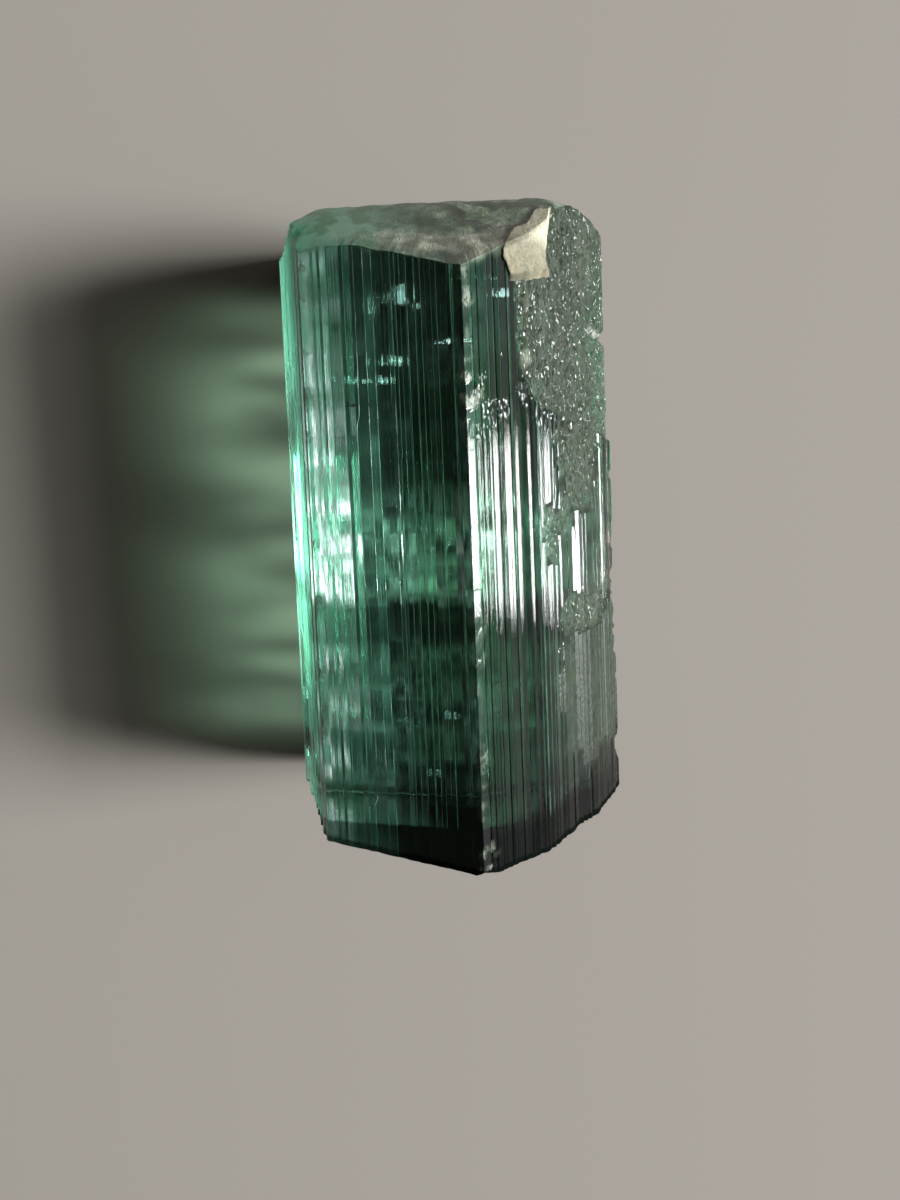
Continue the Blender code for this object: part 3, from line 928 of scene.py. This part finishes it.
def makeGrainTree():
    # small angular grains over a surface
    tree, entry = startTree("crustGrainScatter", {"Density": "Float", "Smallest": "Float", "Largest": "Float"})
    spots = addNode(tree, "GeometryNodeDistributePointsOnFaces", {
        "Mesh": entry["Geometry"], "Density": entry["Density"], "Seed": entry["Seed"],
    })
    stone = addNode(tree, "GeometryNodeMeshIcoSphere", {"Radius": 1.0, "Subdivisions": 1})
    turn = randomVector(tree, (0.0, 0.0, 0.0), (6.28, 6.28, 6.28))
    size = addNode(tree, "FunctionNodeRandomValue", {2: entry["Smallest"], 3: entry["Largest"]}, data_type="FLOAT")
    scale = scaledVector(tree, size.outputs[1], randomVector(tree, *grains["stretch"]))
    return scatter(tree, entry, spots.outputs["Points"], stone.outputs["Mesh"], turn, scale)


def makeFlakeTree():
    # a row of thin lens-shaped flakes between two points
    vectors = {name: "Vector" for name in ("Start", "End", "Size", "Turn", "Stray")}
    tree, entry = startTree("crackFlakeRow", {"Count": "Int", **vectors})
    line = addNode(tree, "GeometryNodeMeshLine", {
        "Count": entry["Count"], "Start Location": entry["Start"], "Offset": entry["End"],
    }, mode="END_POINTS")
    shift = randomVector(tree, scaledVector(tree, -1.0, entry["Stray"]), entry["Stray"], entry["Seed"])
    moved = addNode(tree, "GeometryNodeSetPosition", {"Geometry": line.outputs["Mesh"], "Offset": shift})
    lens = addNode(tree, "GeometryNodeMeshUVSphere", {"Segments": 8, "Rings": 6, "Radius": 1.0})
    grow = randomVector(tree, (0.35, 0.35, 1.0), (1.0, 1.0, 1.0), entry["Seed"])
    scale = addVector(tree, "MULTIPLY", entry["Size"], grow)
    return scatter(tree, entry, moved.outputs[0], lens.outputs["Mesh"], entry["Turn"], scale)


def runTree(name, tree, mesh, values):
    # what the tree makes from the mesh, as a plain piece
    carrier = addObject(name + "Carrier", mesh)
    modifier = carrier.modifiers.new(name, "NODES")
    modifier.node_group = tree
    for item in tree.interface.items_tree:
        if item.item_type == "SOCKET" and item.in_out == "INPUT" and item.name in values:
            modifier[item.identifier] = values[item.name]
    graph = bpy.context.evaluated_depsgraph_get()
    made = bpy.data.meshes.new_from_object(carrier.evaluated_get(graph), depsgraph=graph)
    carrier.modifiers.remove(modifier)
    bpy.data.objects.remove(carrier)
    made.name = name
    if not made.materials:
        made.materials.append(values["Material"])
    print(name + ":", len(made.polygons), "faces")
    return addObject(name, made)


def makeGrains(surface, material):
    smallest, largest = grains["size"]
    values = {
        "Density": grains["density"] / mm**2, "Smallest": smallest * mm, "Largest": largest * mm,
        "Seed": grains["seed"], "Material": material,
    }
    return runTree("matrixGrains", makeGrainTree(), surface, values)


def makeCrustMaterial(grainGroup, name, speckled):
    material, tree, where = startMaterial(name)
    _, y, _ = splitVector(tree, where)
    _, broad = addGrain(tree, grainGroup, where, 1.1, 0.8)
    fineHeight, fine = addGrain(tree, grainGroup, where, 7.0, 0.8)
    _, spots = addGrain(tree, grainGroup, where, 3.3, 1.0)
    colour = mixColour(tree, addProduct(tree, broad, 0.7), crust["cream"], crust["tan"])
    # paler towards the head: painted light on the crust's part in shade
    colour = mixColour(tree, addRange(tree, y, *crust["paintedLightFrom"]), colour, crust["paintedLightColour"])
    spots = addProduct(tree, addRange(tree, spots, 0.85, 1.0), speckled, addRange(tree, y, *crust["brownTo"], 1.0, 0.0))
    colour = mixColour(tree, spots, colour, crust["brown"])
    colour = scaledVector(tree, addRange(tree, fine, 0.0, 1.0, 0.85, 1.08), colour)
    relief = addProduct(tree, fineHeight, addRange(tree, y, *crust["reliefTo"], 1.2, 0.6))
    bump = addNode(tree, "ShaderNodeBump", {"Height": relief, "Distance": 0.02 * mm, "Strength": 0.5})
    rough = addRange(tree, fine, 0.0, 1.0, 0.7, 0.95)
    surface = addSurface(tree, {"Base Color": colour, "Roughness": rough, "Normal": bump.outputs[0]})
    addNode(tree, "ShaderNodeOutputMaterial", {"Surface": surface})
    return material


# Cracks inside the crystal that catch the light, and dark specks of other minerals, as rows of thin flakes:
# start, end, flakes, flake size across and along, turn of the flakes to the right in degrees, stray
inside = {
    "cracks": (
        ((-1.24, 3.87, 6.51), (-0.43, 3.77, 6.96), 10, (0.035, 0.17), 25.5, 0.04),
        ((-1.80, 3.51, 5.92), (-0.75, 3.38, 6.61), 15, (0.035, 0.14), 25.5, 0.04),
        ((-2.6, 4.4, 5.9), (-1.8, 3.9, 6.1), 22, (0.018, 0.035), 26.0, 0.22),
        ((-2.9, 3.4, 5.7), (-2.0, 3.5, 5.9), 12, (0.014, 0.10), 26.0, 0.12),
        ((0.40, 4.07, 7.87), (0.74, 4.03, 8.07), 8, (0.06, 0.09), 24.0, 0.03),
        ((1.35, 5.13, 7.36), (1.50, 5.16, 7.24), 5, (0.10, 0.13), 36.0, 0.03),
        ((1.05, 5.45, 7.40), (1.30, 5.60, 7.20), 7, (0.05, 0.10), 34.0, 0.12),
        ((-1.25, 5.15, 6.30), (-0.80, 5.2, 6.55), 7, (0.014, 0.55), 25.5, 0.06),
        ((-0.70, 5.35, 6.60), (-0.30, 5.3, 6.80), 6, (0.022, 0.38), 25.5, 0.05),
        ((-0.20, 5.25, 6.90), (0.10, 5.0, 7.00), 4, (0.04, 0.16), 27.0, 0.05),
        ((-0.9, -5.11, 5.37), (-0.3, -5.12, 5.6), 10, (0.035, 0.09), 25.0, 0.04),
        ((0.68, -4.83, 6.23), (0.78, -4.83, 6.23), 3, (0.07, 0.14), 24.5, 0.02),
        ((0.10, -6.38, 5.92), (0.22, -6.38, 5.92), 3, (0.07, 0.12), 24.5, 0.02),
        ((-1.6, -0.2, 5.6), (0.55, -0.9, 6.9), 46, (0.016, 0.15), 28.0, 0.55),
        ((-1.2, -3.6, 5.6), (0.60, -6.0, 6.2), 26, (0.016, 0.07), 28.0, 0.6),
    ),
    "crackThick": 0.006,
    "crackColour": (0.78, 0.96, 1.0, 1.0),
    "specks": (
        ((-1.74, 2.96, 5.36), (-1.60, 2.94, 5.40), 5, (0.07, 0.05), 0.0, 0.05),
        ((0.25, -4.17, 5.42), (0.30, -4.2, 5.5), 3, (0.045, 0.045), 0.0, 0.05),
        ((0.74, -4.20, 5.70), (0.80, -4.25, 5.7), 3, (0.04, 0.05), 0.0, 0.05),
        ((0.81, -4.61, 6.81), (0.81, -4.65, 6.81), 2, (0.04, 0.04), 0.0, 0.04),
        ((0.10, -4.62, 5.34), (0.16, -4.7, 5.34), 3, (0.035, 0.045), 0.0, 0.06),
        ((-0.9, -3.6, 5.4), (0.5, -5.8, 6.0), 14, (0.014, 0.02), 0.0, 0.6),
    ),
    "speckThick": 0.04,
    "speckDark": (0.004, 0.004, 0.003, 1.0),
    "speckBrown": (0.03, 0.02, 0.012, 1.0),
    "tip": 0.06,  # of all flakes, forwards, in radians
    "seed": 5,
}


def makeCrackMaterial():
    # an air-filled crack mirrors the light and is hardly seen from elsewhere
    material, tree, where = startMaterial("crackFace")
    alpha = addRange(tree, addNoise(tree, where, 9.0), 0.35, 0.65, 0.12, 0.5)
    surface = addSurface(tree, {
        "Base Color": inside["crackColour"], "Metallic": 1.0, "Roughness": 0.12, "Alpha": alpha,
    })
    addNode(tree, "ShaderNodeOutputMaterial", {"Surface": surface})
    return material


def makeSpeckMaterial():
    material, tree, where = startMaterial("darkSpeck")
    colour = mixColour(tree, addNoise(tree, where, 20.0), inside["speckDark"], inside["speckBrown"])
    addNode(tree, "ShaderNodeOutputMaterial", {"Surface": addSurface(tree, {"Base Color": colour, "Roughness": 0.6})})
    return material


def makeRows(name, rows, thick, material):
    tree = makeFlakeTree()
    made = []
    for number, (start, end, count, size, turn, stray) in enumerate(rows):
        values = {
            "Start": [c * mm for c in start], "End": [c * mm for c in end], "Count": count,
            "Size": [c * mm for c in (*size, thick)], "Turn": [inside["tip"], math.radians(turn), 0.0],
            "Stray": [stray * mm] * 3, "Seed": inside["seed"] + number, "Material": material,
        }
        made.append(runTree(name, tree, bpy.data.meshes.new("row"), values))
    return joinPieces(made, name)


def joinPieces(pieces, name):
    work = bmesh.new()
    for piece in pieces:
        work.from_mesh(piece.data)
    kept = pieces[0]
    work.to_mesh(kept.data)
    work.free()
    for piece in pieces[1:]:
        bpy.data.objects.remove(piece)
    kept.name = kept.data.name = name
    return kept


# Light and camera: each lamp's way, reach, size along and across, and power, in metres and watts
lamps = {
    "key": ((0.865, -0.05, 0.5), 0.6, (0.115, 0.22), 1.8),
    "floorLight": ((0.90, -0.05, 0.42), 0.6, (0.2, 0.2), 5.0),
    "halo": ((0.82, -0.05, 0.56), 0.7, (0.75, 0.5), 0.7),
}
room = {
    "colour": (1.0, 0.85, 0.65, 1.0),
    "strength": 0.027,
}
camera = {
    "place": (1.239, 0.95, 29.0),  # millimetres
    "right": (0.9983, -0.0425, -0.0407),
    "up": (0.0368, 0.9906, -0.1319),
    "back": (0.0459, 0.1302, 0.9904),
    "lens": 27.04,
    "clip": (0.001, 5.0),
}


def addSoftbox(name):
    way, reach, size, power = lamps[name]
    lamp = bpy.data.lights.new(name, "AREA")
    lamp.shape = "RECTANGLE"
    lamp.size, lamp.size_y = size
    lamp.energy = power
    way = Vector(way).normalized()
    side = (Vector((0, 1, 0)) - way * way.y).normalized()
    turn = Matrix((side, way.cross(side), way)).transposed().to_4x4()
    box = addObject(name, lamp)
    box.matrix_world = Matrix.Translation(way * reach + Vector((0, 0, 0.005))) @ turn
    return box


def makeLights():
    world = bpy.data.worlds.new("room")
    world.use_nodes = True
    colour, strength = world.node_tree.nodes["Background"].inputs[:2]
    colour.default_value, strength.default_value = room["colour"], room["strength"]
    bpy.context.scene.world = world
    boxes = [addSoftbox(name) for name in lamps]
    boxes[1].visible_glossy = False  # it lights the floor and stays out of the crystal's mirrors
    boxes[1].visible_transmission = False


def makeCamera():
    data = bpy.data.cameras.new("camera")
    data.lens = camera["lens"]
    data.sensor_width = 36.0
    data.clip_start, data.clip_end = camera["clip"]
    eye = addObject("camera", data)
    turn = Matrix((camera["right"], camera["up"], camera["back"])).transposed().to_4x4()
    eye.matrix_world = Matrix.Translation(Vector(camera["place"]) * mm) @ turn
    bpy.context.scene.camera = eye


def setRender():
    scene = bpy.context.scene
    # light reaches the floor under the crystal by its shadow tint alone
    scene.cycles.caustics_refractive = False
    scene.cycles.caustics_reflective = False
    scene.view_settings.view_transform = "Standard"


setRender()
makeLights()
makeCamera()
makeFloor()
grainGroup = makeGrainGroup()
body = makeCrystal(makeTourmaline(grainGroup))
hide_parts("crystal")
matrix = makeCrust(makeCrustMaterial(grainGroup, "matrixCream", 0.9))
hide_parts("matrix_crust")
looseGrains = makeGrains(matrix.data.copy(), makeCrustMaterial(grainGroup, "matrixGrain", 0.3))
innerCracks = makeRows("innerCracks", inside["cracks"], inside["crackThick"], makeCrackMaterial())
innerSpecks = makeRows("innerSpecks", inside["specks"], inside["speckThick"], makeSpeckMaterial())
pieces = ((body, "tourmaline"), (matrix, "matrix"), (looseGrains, "matrix"), (innerCracks, "tourmaline"),
          (innerSpecks, "tourmaline"))
for piece, slot in pieces:
    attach(piece, "root")
